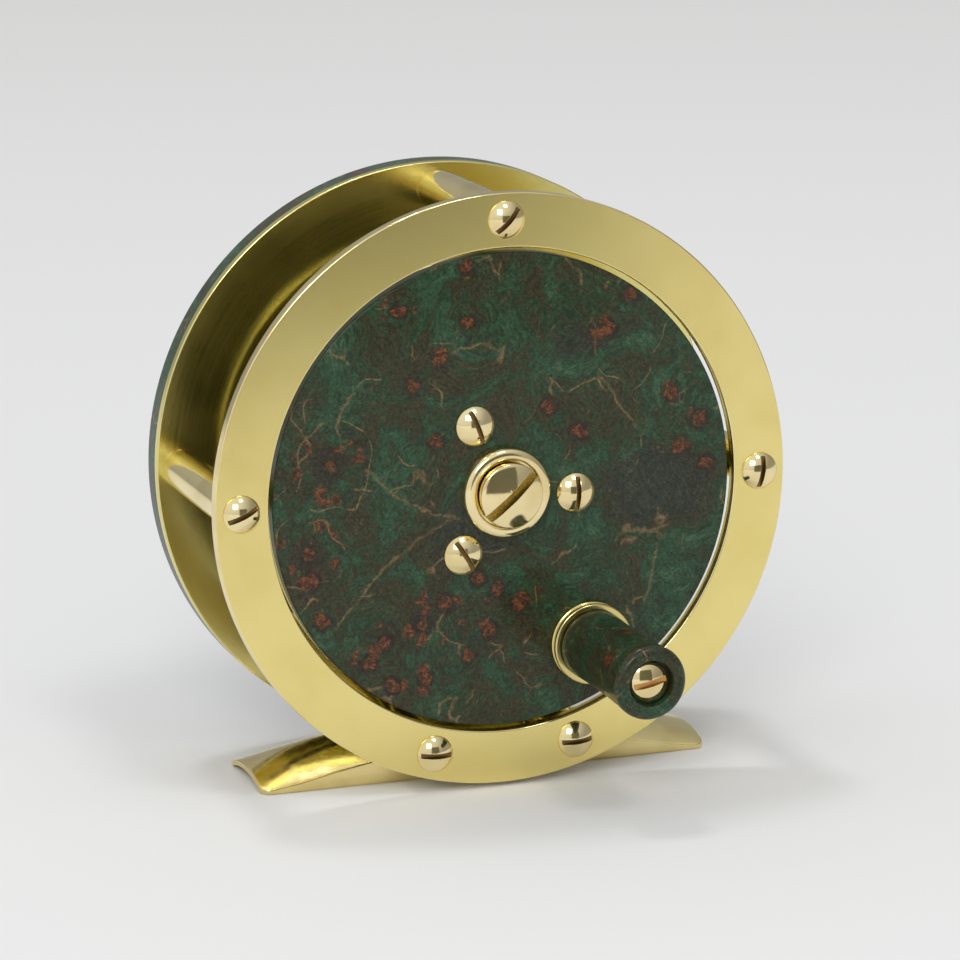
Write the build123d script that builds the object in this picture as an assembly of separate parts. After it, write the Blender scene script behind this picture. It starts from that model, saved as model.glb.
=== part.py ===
from build123d import *
import math
import os

# Fly reel: a brass and dyed-burl reel with a pillared frame and a wide spool.
# Millimetres. +Z is up and the reel's axis runs along Y, with the handle towards -Y.
# The origin is the centre of the foot's underside, where the reel seats on a rod.

# Frame
FRAME_RADIUS = 38.1
AXIS_HEIGHT = 38.65
INSIDE_WIDTH = 24.4
RING_BORE_RADIUS = 31.2
RING_THICKNESS = 1.65
PLATE_THICKNESS = 1.2
COVER_THICKNESS = 3.5
RIM_CHAMFER = 0.2
COVER_ROUNDING = 0.7
NUT_ROOM = 0.3

# Pillars, the same screw at both ends of each
PILLAR_RADIUS = 2.6
PILLAR_CIRCLE = 34.7
LOWER_PILLAR_SPREAD = 16.0
PILLAR_ANGLES = {
    "pillar_top": 90.0,
    "pillar_left": 180.0,
    "pillar_right": 0.0,
    "pillar_lower_left": -90.0 - LOWER_PILLAR_SPREAD,
    "pillar_lower_right": -90.0 + LOWER_PILLAR_SPREAD,
}
FRONT_SLOTS = {
    "pillar_top": 47.0,
    "pillar_left": 24.0,
    "pillar_right": 82.0,
    "pillar_lower_left": -2.0,
    "pillar_lower_right": 4.0,
}
REAR_SLOTS = {
    "pillar_top": 12.0,
    "pillar_left": 71.0,
    "pillar_right": -38.0,
    "pillar_lower_left": 55.0,
    "pillar_lower_right": -8.0,
}
PILLAR_HEAD_RADIUS = 2.4
PILLAR_HEAD_HEIGHT = 1.3
PILLAR_SHANK_RADIUS = 1.2
PILLAR_SHANK_DEPTH = 6.0

# Screws and fits
HEAD_RIM_SHARE = 0.15
HEAD_SLOT_DEPTH_SHARE = 0.42
HEAD_SLOT_WIDTH_SHARE = 0.26
HOLE_RUN_ON = 0.5
TAPPED_GAP = 0.03
DRILLED_GAP = 0.1
RUNNING_GAP = 0.05
END_GAP = 0.15

# Foot, its stations being the place from the middle and the heights of edge and crest
FOOT_HALF_LENGTH = 30.5
FOOT_HALF_WIDTH = 7.25
FOOT_STATIONS = ((FOOT_HALF_LENGTH, 0.5, 1.9), (25.5, 1.15, 3.3), (15.0, 3.1, 4.8))
FOOT_GROOVE_HALF_WIDTH = 6.6
FOOT_GROOVE_DEPTH = 1.2
FOOT_CORNER_RADIUS = 1.4
FOOT_HEAD_RADIUS = 1.9
FOOT_SHANK_RADIUS = 1.0
FOOT_SCREW_TOP = 6.2
FOOT_HEAD_SUNK = 0.3
FOOT_SLOT_WIDTH = 0.5
FOOT_SLOT_DEPTH = 0.35

# Spool
SPOOL_RADIUS = 30.55
REAR_FLANGE_RADIUS = 29.0
FACE_RECESS = 0.5
FACE_THICKNESS = 1.8
FACE_ROUNDING = 0.25
FLANGE_THICKNESS = 1.0
REAR_FLANGE_GAP = 2.9
CORE_RADIUS = 12.5
CORE_BORE_RADIUS = 6.03
BUSH_RADIUS = 6.0
BUSH_LENGTH = 6.0
FACE_SCREW_CIRCLE = 9.57
FACE_SCREW_TURN = -5.5
FACE_SLOTS = (88.0, -68.0, -58.0)
FACE_HEAD_RADIUS = 2.6
FACE_HEAD_HEIGHT = 1.45
FACE_SHANK_DEPTH = 7.5
REAR_SCREW_CIRCLE = 10.8
REAR_SCREW_SINK = 0.8
REAR_SCREW_REACH = 4.5
REAR_SLOT_WIDTH = 0.5
REAR_SLOT_DEPTH = 0.4
REAR_SLOT_TURN = 25.0
SPOOL_SHANK_RADIUS = 1.1
SPOOL_HOLE_DEPTH = 5.0

# Hub
SPINDLE_RADIUS = 2.5
SPINDLE_FLANGE_RADIUS = 5.0
SPINDLE_FLANGE_THICKNESS = 0.8
SPINDLE_TAIL_RADIUS = 3.0
THRUST_WASHER_THICKNESS = 0.4
NUT_THICKNESS = 2.0
NUT_ACROSS_FLATS = 8.0
COLLAR_RADIUS = 5.8
COLLAR_HEIGHT = 1.6
COLLAR_RECESS_RADIUS = 4.35
COLLAR_FLOOR = 0.6
COLLAR_SPIGOT_RADIUS = 4.0
COLLAR_ROUNDING = 0.7
RETAINER_RADIUS = 4.15
RETAINER_PROUD = 1.9
RETAINER_ROUNDING = 0.35
RETAINER_SLOT = 42.0
RETAINER_SLOT_WIDTH = 1.15
RETAINER_SLOT_DEPTH = 1.5
RETAINER_SHANK_RADIUS = 1.6
RETAINER_SHANK_LENGTH = 7.0

# Click
RATCHET_TEETH = 24
RATCHET_RADIUS = 8.5
RATCHET_ROOT_RADIUS = 7.5
RATCHET_THICKNESS = 1.4
PAWL_PIVOT = (-7.0, 10.2)
PAWL_THICKNESS = 1.15
PAWL_POST_RADIUS = 1.0
PAWL_EYE_RADIUS = 2.0
PAWL_COLLAR_RADIUS = 1.7
PAWL_OUTLINE = (
    (-6.0, 8.6), (-1.5, 9.15), (-0.72, 8.66), (0.0, 7.72), (0.72, 8.66),
    (1.5, 9.15), (1.5, 10.6), (-6.4, 12.0),
)
SPRING_EYE = (9.6, 12.2)
SPRING_THICKNESS = 0.35
SPRING_EYE_RADIUS = 1.6
SPRING_RUN = ((-0.6, 11.35), (0.4, 11.05), (5.0, 11.6))
SPRING_BEND = 2.0

# Handle
HANDLE_CIRCLE = 23.66
HANDLE_ANGLE = -60.7
HANDLE_COLLAR_RADIUS = 5.3
HANDLE_COLLAR_THICKNESS = 1.8
HANDLE_COLLAR_ROUNDING = 0.45
KNOB_PROUD = 20.8
KNOB_BASE_RADIUS = 4.6
KNOB_WAIST_RADIUS = 4.3
KNOB_END_RADIUS = 4.8
KNOB_RECESS_RADIUS = 2.95
KNOB_RECESS_DEPTH = 1.6
KNOB_ROUNDING = 1.1
KNOB_WAIST_SHIFT = 1.5
KNOB_HEAD_RADIUS = 2.6
KNOB_HEAD_HEIGHT = 1.3
KNOB_SLOT = 12.0
KNOB_BUSH_RADIUS = 2.3
POST_RADIUS = 1.5
POST_BASE_RADIUS = 1.8
POST_HEAD_SPREAD = 1.2
POST_HEAD_THICKNESS = 0.9
KNOB_SHANK_RADIUS = 0.9
KNOB_SHANK_DEPTH = 4.5
KNOB_HOLE_DEPTH = 5.0

# Places along the axis, worked out from the sizes above
RING_BACK = -INSIDE_WIDTH / 2
RING_FRONT = RING_BACK - RING_THICKNESS
PLATE_FRONT = INSIDE_WIDTH / 2
PLATE_BACK = PLATE_FRONT + PLATE_THICKNESS
COVER_BACK = PLATE_BACK + COVER_THICKNESS
FACE_FRONT = RING_FRONT + FACE_RECESS
FACE_BACK = FACE_FRONT + FACE_THICKNESS
FLANGE_BACK = FACE_BACK + FLANGE_THICKNESS
REAR_FLANGE_BACK = PLATE_FRONT - REAR_FLANGE_GAP
REAR_FLANGE_FRONT = REAR_FLANGE_BACK - FLANGE_THICKNESS
SPINDLE_SHOULDER = PLATE_FRONT - SPINDLE_FLANGE_THICKNESS
BUSH_BACK = SPINDLE_SHOULDER - THRUST_WASHER_THICKNESS - DRILLED_GAP
COLLAR_TOP = FACE_FRONT - COLLAR_HEIGHT
RECESS_FLOOR = FACE_FRONT - COLLAR_FLOOR
SPINDLE_END = RECESS_FLOOR - END_GAP
KNOB_END = RING_FRONT - KNOB_PROUD
KNOB_START = FACE_FRONT - HANDLE_COLLAR_THICKNESS - END_GAP
KNOB_FLOOR = KNOB_END + KNOB_RECESS_DEPTH
POST_END = KNOB_FLOOR - DRILLED_GAP
CLICK_FRONT = REAR_FLANGE_BACK + END_GAP
CLICK_BACK = CLICK_FRONT + PAWL_THICKNESS


def around_axis(radius, angle):
    """The x and z of a point at this radius and angle about the reel's axis."""
    turn = math.radians(angle)
    return radius * math.cos(turn), AXIS_HEIGHT + radius * math.sin(turn)


def bar(radius, front, back, centre=(0.0, AXIS_HEIGHT)):
    """A round bar parallel to the reel's axis, between two places along it."""
    plane = Plane(origin=(centre[0], front, centre[1]), x_dir=(1, 0, 0), z_dir=(0, 1, 0))
    return extrude(plane * Circle(radius), back - front)


def turned(outline, centre=(0.0, AXIS_HEIGHT)):
    """A lathe-turned piece from a half outline of radius and place along the axis."""
    return Pos(centre[0], 0, centre[1]) * revolve(make_face(outline), Axis.Y)


def slot(width, length, bottom, top, angle, centre):
    """The block that cuts a screwdriver slot, at an angle from level."""
    block = Box(length, abs(bottom - top), width)
    return Pos(centre[0], (bottom + top) / 2, centre[1]) * Rotation(0, -angle, 0) * block


def domed_screw(centre, seat, facing, head, height, shank, depth, angle):
    """A domed slotted screw: facing is -1 with its head to the front, 1 to the back."""
    rim = HEAD_RIM_SHARE * height
    rise = height - rim
    dome = (head**2 + rise**2) / (2 * rise)
    tip = seat + facing * height
    end = seat - facing * depth
    shoulder = seat + facing * rim
    bulge = (head / 2, tip - facing * (dome - math.sqrt(dome**2 - head**2 / 4)))
    outline = Polyline((0, end), (shank, end), (shank, seat), (head, seat), (head, shoulder))
    outline += ThreePointArc((head, shoulder), bulge, (0, tip))
    outline += Line((0, tip), (0, end))
    floor = seat + facing * HEAD_SLOT_DEPTH_SHARE * height
    cut = slot(HEAD_SLOT_WIDTH_SHARE * head, 3 * head, tip + facing, floor, angle, centre)
    return turned(outline, centre) - cut


def front_ring():
    ring = bar(FRAME_RADIUS, RING_FRONT, RING_BACK) - bar(RING_BORE_RADIUS, RING_FRONT, RING_BACK)
    ring = chamfer(ring.edges().filter_by(GeomType.CIRCLE), RIM_CHAMFER)
    for angle in PILLAR_ANGLES.values():
        hole = around_axis(PILLAR_CIRCLE, angle)
        ring -= bar(PILLAR_SHANK_RADIUS + DRILLED_GAP, RING_FRONT, RING_BACK, hole)
    return ring


def back_plate():
    plate = bar(FRAME_RADIUS, PLATE_FRONT, PLATE_BACK)
    plate = chamfer(plate.edges().group_by(Axis.Y)[0], RIM_CHAMFER)
    for angle in PILLAR_ANGLES.values():
        hole = around_axis(PILLAR_CIRCLE, angle)
        plate -= bar(PILLAR_SHANK_RADIUS + DRILLED_GAP, PLATE_FRONT, PLATE_BACK, hole)
    plate -= bar(SPINDLE_TAIL_RADIUS + TAPPED_GAP, PLATE_FRONT, PLATE_BACK)
    for place in (PAWL_PIVOT, SPRING_EYE):
        hole = (place[0], AXIS_HEIGHT + place[1])
        plate -= bar(PAWL_POST_RADIUS + TAPPED_GAP, PLATE_FRONT, PLATE_BACK, hole)
    return plate


def back_cover():
    cover = bar(FRAME_RADIUS, PLATE_BACK, COVER_BACK)
    cover = fillet(cover.edges().group_by(Axis.Y)[-1], COVER_ROUNDING)
    for angle in PILLAR_ANGLES.values():
        hole = around_axis(PILLAR_CIRCLE, angle)
        cover -= bar(PILLAR_SHANK_RADIUS + DRILLED_GAP, PLATE_BACK, COVER_BACK, hole)
    nut_corner = NUT_ACROSS_FLATS / math.sqrt(3)
    return cover - bar(nut_corner + NUT_ROOM, PLATE_BACK, PLATE_BACK + NUT_THICKNESS + NUT_ROOM)


def pillar(angle):
    centre = around_axis(PILLAR_CIRCLE, angle)
    body = bar(PILLAR_RADIUS, RING_BACK, PLATE_FRONT, centre)
    tapped = PILLAR_SHANK_RADIUS + TAPPED_GAP
    depth = PILLAR_SHANK_DEPTH
    body -= bar(tapped, RING_BACK, RING_BACK + depth, centre)
    body -= bar(tapped, PLATE_FRONT - depth, PLATE_FRONT, centre)
    if angle < 0:
        body -= foot_screw_hole(centre[0], FOOT_SCREW_TOP + HOLE_RUN_ON)
    return body


def foot_screw_hole(x, top):
    """The upright hole that a foot screw's thread runs in."""
    return Pos(x, 0, top / 2) * Cylinder(FOOT_SHANK_RADIUS + TAPPED_GAP, top)


def pillar_screws(facing, slots):
    """The five screws on one side, through the ring or through the plate and cover."""
    seat = RING_FRONT if facing < 0 else COVER_BACK
    side = RING_THICKNESS if facing < 0 else PLATE_THICKNESS + COVER_THICKNESS
    length = side + PILLAR_SHANK_DEPTH - HOLE_RUN_ON
    return [
        domed_screw(around_axis(PILLAR_CIRCLE, angle), seat, facing, PILLAR_HEAD_RADIUS,
                    PILLAR_HEAD_HEIGHT, PILLAR_SHANK_RADIUS, length, slots[name])
        for name, angle in PILLAR_ANGLES.items()
    ]


def foot_section(x, edge, crest):
    """An upright section of the foot: flat underneath and arched on top."""
    width = FOOT_HALF_WIDTH
    outline = Polyline((-width, edge), (-width, 0), (width, 0), (width, edge))
    outline += ThreePointArc((width, edge), (0, crest), (-width, edge))
    plane = Plane(origin=(x, 0, 0), x_dir=(0, 1, 0), z_dir=(1, 0, 0))
    return plane * make_face(outline)


def foot():
    tips = [foot_section(*station) for station in FOOT_STATIONS]
    ramp = loft(tips)
    inner = FOOT_STATIONS[-1]
    middle = extrude(foot_section(-inner[0], inner[1], inner[2]), 2 * inner[0])
    body = middle + ramp + mirror(ramp, Plane.YZ)
    for end in (-1, 1):
        for side in (-1, 1):
            body -= foot_corner(end, side)
    half, depth = FOOT_GROOVE_HALF_WIDTH, FOOT_GROOVE_DEPTH
    groove = (half**2 + depth**2) / (2 * depth)
    length = 2 * FOOT_HALF_LENGTH + 2
    body -= Pos(0, 0, depth - groove) * Rotation(0, 90, 0) * Cylinder(groove, length)
    for angle in (PILLAR_ANGLES["pillar_lower_left"], PILLAR_ANGLES["pillar_lower_right"]):
        centre = around_axis(PILLAR_CIRCLE, angle)
        body -= bar(PILLAR_RADIUS, -FOOT_HALF_WIDTH, FOOT_HALF_WIDTH, centre)
        body -= foot_screw_hole(centre[0], FOOT_SCREW_TOP)
        body -= Pos(centre[0], 0, 0) * foot_screw_head()
    return body.solid()


def foot_corner(end, side):
    """What is filed away to round one corner of the foot, seen from above."""
    radius, tall = FOOT_CORNER_RADIUS, 2 * FOOT_SCREW_TOP
    x, y = end * (FOOT_HALF_LENGTH - radius), side * (FOOT_HALF_WIDTH - radius)
    block = Pos(x + end * radius, y + side * radius) * Box(2 * radius, 2 * radius, tall)
    return block - Pos(x, y) * Cylinder(radius, tall)


def foot_screw_head():
    """The countersunk head, whose flat lies just inside the foot's groove."""
    flat = FOOT_GROOVE_DEPTH - FOOT_HEAD_SUNK
    height = FOOT_HEAD_RADIUS - FOOT_SHANK_RADIUS
    return Pos(0, 0, flat + height / 2) * Cone(FOOT_HEAD_RADIUS, FOOT_SHANK_RADIUS, height)


def foot_screws():
    screws = []
    flat = FOOT_GROOVE_DEPTH - FOOT_HEAD_SUNK
    length = FOOT_SCREW_TOP - flat
    for side in (-1, 1):
        x = side * abs(around_axis(PILLAR_CIRCLE, PILLAR_ANGLES["pillar_lower_right"])[0])
        screw = foot_screw_head() + Pos(0, 0, flat + length / 2) * Cylinder(FOOT_SHANK_RADIUS, length)
        screw -= Pos(0, 0, flat) * Box(3 * FOOT_HEAD_RADIUS, FOOT_SLOT_WIDTH, 2 * FOOT_SLOT_DEPTH)
        screws.append(Pos(x, 0, 0) * screw)
    return screws


def spindle():
    tail_end = PLATE_BACK + NUT_THICKNESS
    body = bar(SPINDLE_RADIUS, SPINDLE_END, SPINDLE_SHOULDER)
    body += bar(SPINDLE_FLANGE_RADIUS, SPINDLE_SHOULDER, PLATE_FRONT)
    body += bar(SPINDLE_TAIL_RADIUS, PLATE_FRONT, tail_end)
    tapped = SPINDLE_END + RETAINER_SHANK_LENGTH + HOLE_RUN_ON
    return body - bar(RETAINER_SHANK_RADIUS + TAPPED_GAP, SPINDLE_END, tapped)


def spindle_nut():
    plane = Plane(origin=(0, PLATE_BACK, AXIS_HEIGHT), x_dir=(1, 0, 0), z_dir=(0, 1, 0))
    hexagon = RegularPolygon(NUT_ACROSS_FLATS / 2, 6, major_radius=False)
    nut = extrude(plane * hexagon, NUT_THICKNESS)
    return nut - bar(SPINDLE_TAIL_RADIUS + TAPPED_GAP, PLATE_BACK, PLATE_BACK + NUT_THICKNESS)


def retaining_screw():
    """The broad slotted screw that keeps the spool on its spindle."""
    top = COLLAR_TOP - RETAINER_PROUD
    head = bar(RETAINER_RADIUS, top, SPINDLE_END)
    head = fillet(head.edges().group_by(Axis.Y)[0], RETAINER_ROUNDING)
    head -= slot(RETAINER_SLOT_WIDTH, 3 * RETAINER_RADIUS, top - 1, top + RETAINER_SLOT_DEPTH,
                 RETAINER_SLOT, (0, AXIS_HEIGHT))
    return head + bar(RETAINER_SHANK_RADIUS, SPINDLE_END, SPINDLE_END + RETAINER_SHANK_LENGTH)


def thrust_washer():
    back, front = SPINDLE_SHOULDER, SPINDLE_SHOULDER - THRUST_WASHER_THICKNESS
    return bar(SPINDLE_FLANGE_RADIUS, front, back) - bar(SPINDLE_RADIUS + RUNNING_GAP, front, back)


def click_post(place, radius):
    """A shouldered stud riveted into the back plate."""
    centre = (place[0], AXIS_HEIGHT + place[1])
    shoulder = CLICK_BACK + RUNNING_GAP
    stud = bar(PAWL_POST_RADIUS, CLICK_FRONT + DRILLED_GAP, PLATE_BACK - DRILLED_GAP, centre)
    return stud + bar(radius, shoulder, PLATE_FRONT, centre)


def flat_piece(sketch):
    """A piece cut from sheet, lying in the plane of the click between wheel and plate."""
    plane = Plane(origin=(0, CLICK_FRONT, AXIS_HEIGHT), x_dir=(-1, 0, 0), z_dir=(0, 1, 0))
    return extrude(plane * mirror(sketch, Plane.YZ), PAWL_THICKNESS)


def click_pawl():
    nose = Polygon(*PAWL_OUTLINE, align=None)
    pivot = Pos(*PAWL_PIVOT) * Circle(PAWL_EYE_RADIUS)
    hole = Pos(*PAWL_PIVOT) * Circle(PAWL_POST_RADIUS + RUNNING_GAP)
    return flat_piece(nose + pivot - hole)


def click_spring():
    """A flat spring strip: an eye round its post and a free end on the pawl's back."""
    eye_x, eye_z = SPRING_EYE
    run = SPRING_EYE_RADIUS - SPRING_THICKNESS / 2
    strip = FilletPolyline(*SPRING_RUN, (eye_x, eye_z + run), radius=SPRING_BEND)
    eye = Pos(eye_x, eye_z) * Circle(SPRING_EYE_RADIUS)
    hole = Pos(eye_x, eye_z) * Circle(PAWL_POST_RADIUS + RUNNING_GAP)
    return flat_piece(trace(strip, SPRING_THICKNESS) + eye - hole)


def spool_face():
    disc = bar(SPOOL_RADIUS, FACE_FRONT, FACE_BACK)
    disc = fillet(disc.edges().group_by(Axis.Y)[0], FACE_ROUNDING)
    return disc - front_flange_holes()


def front_flange():
    flange = bar(SPOOL_RADIUS, FACE_BACK, FLANGE_BACK) - front_flange_holes()
    return flange - handle_post_head()


def front_flange_holes():
    """The holes through the face and its flange: hub, three screws and handle."""
    holes = [bar(COLLAR_SPIGOT_RADIUS + TAPPED_GAP, FACE_FRONT, FLANGE_BACK)]
    for centre in face_screw_places():
        holes.append(bar(SPOOL_SHANK_RADIUS + DRILLED_GAP, FACE_FRONT, FLANGE_BACK, centre))
    holes.append(bar(POST_BASE_RADIUS + TAPPED_GAP, FACE_FRONT, FLANGE_BACK, handle_place()))
    return holes


def face_screw_places():
    return [around_axis(FACE_SCREW_CIRCLE, FACE_SCREW_TURN + 120 * i) for i in range(3)]


def rear_screw_places():
    return [around_axis(REAR_SCREW_CIRCLE, FACE_SCREW_TURN + 60 + 120 * i) for i in range(3)]


def handle_place():
    return around_axis(HANDLE_CIRCLE, HANDLE_ANGLE)


def face_screws():
    return [
        domed_screw(centre, FACE_FRONT, -1, FACE_HEAD_RADIUS, FACE_HEAD_HEIGHT,
                    SPOOL_SHANK_RADIUS, FACE_SHANK_DEPTH, angle)
        for centre, angle in zip(face_screw_places(), FACE_SLOTS)
    ]


def spool_core():
    core = bar(CORE_RADIUS, FLANGE_BACK, REAR_FLANGE_FRONT)
    core -= bar(CORE_BORE_RADIUS, FLANGE_BACK, REAR_FLANGE_FRONT)
    tapped = SPOOL_SHANK_RADIUS + TAPPED_GAP
    for centre in face_screw_places():
        core -= bar(tapped, FLANGE_BACK, FLANGE_BACK + SPOOL_HOLE_DEPTH, centre)
    for centre in rear_screw_places():
        core -= bar(tapped, REAR_FLANGE_FRONT - SPOOL_HOLE_DEPTH, REAR_FLANGE_FRONT, centre)
    return core


def rear_flange():
    flange = bar(REAR_FLANGE_RADIUS, REAR_FLANGE_FRONT, REAR_FLANGE_BACK)
    flange -= bar(CORE_BORE_RADIUS, REAR_FLANGE_FRONT, REAR_FLANGE_BACK)
    for centre in rear_screw_places():
        flange -= countersunk(centre, SPOOL_SHANK_RADIUS + TAPPED_GAP, 0)
    return flange


def countersunk(centre, shank, depth):
    """A countersunk screw set flush in the back of the rear flange."""
    flat = REAR_FLANGE_BACK
    cone = flat - REAR_SCREW_SINK
    end = REAR_FLANGE_FRONT - depth
    wide = shank + REAR_SCREW_SINK
    outline = Polyline((0, end), (shank, end), (shank, cone), (wide, flat), (0, flat), (0, end))
    return turned(outline, centre)


def rear_flange_screws():
    screws = []
    floor = REAR_FLANGE_BACK - REAR_SLOT_DEPTH
    for centre in rear_screw_places():
        cut = slot(REAR_SLOT_WIDTH, 6, floor, REAR_FLANGE_BACK + 1, REAR_SLOT_TURN, centre)
        screws.append(countersunk(centre, SPOOL_SHANK_RADIUS, REAR_SCREW_REACH) - cut)
    return screws


def bush(front, back):
    return bar(BUSH_RADIUS, front, back) - bar(SPINDLE_RADIUS + RUNNING_GAP, front, back)


def boss_collar():
    """The raised brass collar round the spindle's end, with a spigot through the face."""
    collar = bar(COLLAR_RADIUS, COLLAR_TOP, FACE_FRONT)
    collar = fillet(collar.edges().group_by(Axis.Y)[0], COLLAR_ROUNDING)
    collar -= bar(COLLAR_RECESS_RADIUS, COLLAR_TOP, RECESS_FLOOR)
    collar += bar(COLLAR_SPIGOT_RADIUS, FACE_FRONT, FLANGE_BACK)
    return collar - bar(SPINDLE_RADIUS + RUNNING_GAP, RECESS_FLOOR, FLANGE_BACK)


def ratchet_wheel():
    """The click wheel: a gap between two teeth stands straight up for the pawl."""
    points = []
    for tooth in range(RATCHET_TEETH):
        gap = math.radians(90 + 360 * tooth / RATCHET_TEETH)
        crest = gap + math.pi / RATCHET_TEETH
        points.append((RATCHET_ROOT_RADIUS * math.cos(gap), RATCHET_ROOT_RADIUS * math.sin(gap)))
        points.append((RATCHET_RADIUS * math.cos(crest), RATCHET_RADIUS * math.sin(crest)))
    plane = Plane(origin=(0, REAR_FLANGE_BACK, AXIS_HEIGHT), x_dir=(1, 0, 0), z_dir=(0, 1, 0))
    wheel = extrude(plane * Polygon(*points, align=None), RATCHET_THICKNESS)
    return wheel - bar(CORE_BORE_RADIUS, REAR_FLANGE_BACK, REAR_FLANGE_BACK + RATCHET_THICKNESS)


def handle_collar():
    front = FACE_FRONT - HANDLE_COLLAR_THICKNESS
    collar = bar(HANDLE_COLLAR_RADIUS, front, FACE_FRONT, handle_place())
    collar = fillet(collar.edges().group_by(Axis.Y)[0], HANDLE_COLLAR_ROUNDING)
    return collar - bar(POST_BASE_RADIUS + TAPPED_GAP, front, FACE_FRONT, handle_place())


def handle_post_head():
    """The post's countersunk head, flush with the line side of the front flange."""
    start = FLANGE_BACK - POST_HEAD_THICKNESS
    wide = POST_BASE_RADIUS + POST_HEAD_SPREAD
    outline = Polyline((0, start), (POST_BASE_RADIUS, start), (wide, FLANGE_BACK),
                       (0, FLANGE_BACK), (0, start))
    return turned(outline, handle_place())


def handle_post():
    centre = handle_place()
    shoulder = FACE_FRONT - HANDLE_COLLAR_THICKNESS
    post = bar(POST_BASE_RADIUS, shoulder, FLANGE_BACK, centre) + handle_post_head()
    post += bar(POST_RADIUS, POST_END, shoulder, centre)
    return post - bar(KNOB_SHANK_RADIUS + TAPPED_GAP, POST_END, POST_END + KNOB_HOLE_DEPTH, centre)


def knob():
    """The burl knob: slim in the waist, with a rounded, counterbored end."""
    waist = (KNOB_START + KNOB_END) / 2 + KNOB_WAIST_SHIFT
    rim = KNOB_END + KNOB_ROUNDING
    flat = KNOB_END_RADIUS - KNOB_ROUNDING
    inset = KNOB_ROUNDING * (1 - math.sqrt(0.5))
    corner = (KNOB_END_RADIUS - inset, KNOB_END + inset)
    side = ThreePointArc((KNOB_BASE_RADIUS, KNOB_START), (KNOB_WAIST_RADIUS, waist),
                         (KNOB_END_RADIUS, rim))
    lip = ThreePointArc((KNOB_END_RADIUS, rim), corner, (flat, KNOB_END))
    inner = KNOB_BUSH_RADIUS + TAPPED_GAP
    bore = Polyline((flat, KNOB_END), (KNOB_RECESS_RADIUS, KNOB_END), (KNOB_RECESS_RADIUS, KNOB_FLOOR),
                    (inner, KNOB_FLOOR), (inner, KNOB_START), (KNOB_BASE_RADIUS, KNOB_START))
    return turned(side + lip + bore, handle_place())


def knob_bush():
    centre = handle_place()
    tube = bar(KNOB_BUSH_RADIUS, KNOB_FLOOR, KNOB_START, centre)
    return tube - bar(POST_RADIUS + RUNNING_GAP, KNOB_FLOOR, KNOB_START, centre)


def knob_screw():
    return domed_screw(handle_place(), POST_END, -1, KNOB_HEAD_RADIUS, KNOB_HEAD_HEIGHT,
                       KNOB_SHANK_RADIUS, KNOB_SHANK_DEPTH, KNOB_SLOT)


def build():
    nodes = {
        "front_ring": front_ring(),
        "back_plate": back_plate(),
        "back_cover": back_cover(),
        "front_screws": pillar_screws(-1, FRONT_SLOTS),
        "rear_screws": pillar_screws(1, REAR_SLOTS),
        "foot": foot(),
        "foot_screws": foot_screws(),
        "spindle": spindle(),
        "spindle_nut": spindle_nut(),
        "retaining_screw": retaining_screw(),
        "thrust_washer": thrust_washer(),
        "pawl_post": click_post(PAWL_PIVOT, PAWL_COLLAR_RADIUS),
        "spring_post": click_post(SPRING_EYE, SPRING_EYE_RADIUS),
        "click_spring": click_spring(),
        "click_pawl": click_pawl(),
        "spool_face": spool_face(),
        "front_flange": front_flange(),
        "spool_core": spool_core(),
        "rear_flange": rear_flange(),
        "rear_flange_screws": rear_flange_screws(),
        "face_screws": face_screws(),
        "front_bush": bush(FLANGE_BACK, FLANGE_BACK + BUSH_LENGTH),
        "rear_bush": bush(BUSH_BACK - BUSH_LENGTH, BUSH_BACK),
        "boss_collar": boss_collar(),
        "ratchet_wheel": ratchet_wheel(),
        "handle_collar": handle_collar(),
        "handle_post": handle_post(),
        "knob": knob(),
        "knob_bush": knob_bush(),
        "knob_screw": knob_screw(),
    }
    for name, angle in PILLAR_ANGLES.items():
        nodes[name] = pillar(angle)
    return nodes


os.makedirs("parts", exist_ok=True)
for name, shape in build().items():
    if isinstance(shape, list):
        shape = Compound(children=shape)
    export_step(shape, f"parts/{name}.step")
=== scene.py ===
import math
import bmesh
import bpy
from mathutils import Matrix, Vector


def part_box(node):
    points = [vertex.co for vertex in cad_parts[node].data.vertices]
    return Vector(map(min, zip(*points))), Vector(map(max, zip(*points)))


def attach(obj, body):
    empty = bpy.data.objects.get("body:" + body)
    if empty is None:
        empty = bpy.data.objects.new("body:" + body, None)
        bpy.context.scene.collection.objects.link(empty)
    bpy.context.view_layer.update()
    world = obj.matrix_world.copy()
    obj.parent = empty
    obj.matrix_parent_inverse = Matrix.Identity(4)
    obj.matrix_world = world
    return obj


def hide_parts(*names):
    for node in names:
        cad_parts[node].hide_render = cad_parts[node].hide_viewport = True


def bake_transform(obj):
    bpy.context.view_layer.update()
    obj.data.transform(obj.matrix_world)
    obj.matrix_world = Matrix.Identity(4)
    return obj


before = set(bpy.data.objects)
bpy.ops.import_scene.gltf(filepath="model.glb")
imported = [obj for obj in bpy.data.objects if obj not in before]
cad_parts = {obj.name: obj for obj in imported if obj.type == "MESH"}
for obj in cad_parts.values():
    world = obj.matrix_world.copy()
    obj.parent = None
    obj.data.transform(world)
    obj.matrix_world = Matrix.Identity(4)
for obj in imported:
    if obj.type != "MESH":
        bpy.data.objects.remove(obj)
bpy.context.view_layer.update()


# The set: a pale paper floor under large soft lamps, with a dim card in front that only
# the polished metal sees. The camera stands to the left of the handle side, a little high.
def put(name, bm):
    """Turns a finished bmesh into an object of that name, with its place in its mesh."""
    mesh = bpy.data.meshes.new(name)
    bm.to_mesh(mesh)
    bm.free()
    made = bpy.data.objects.new(name, mesh)
    bpy.context.scene.collection.objects.link(made)
    return made


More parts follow.
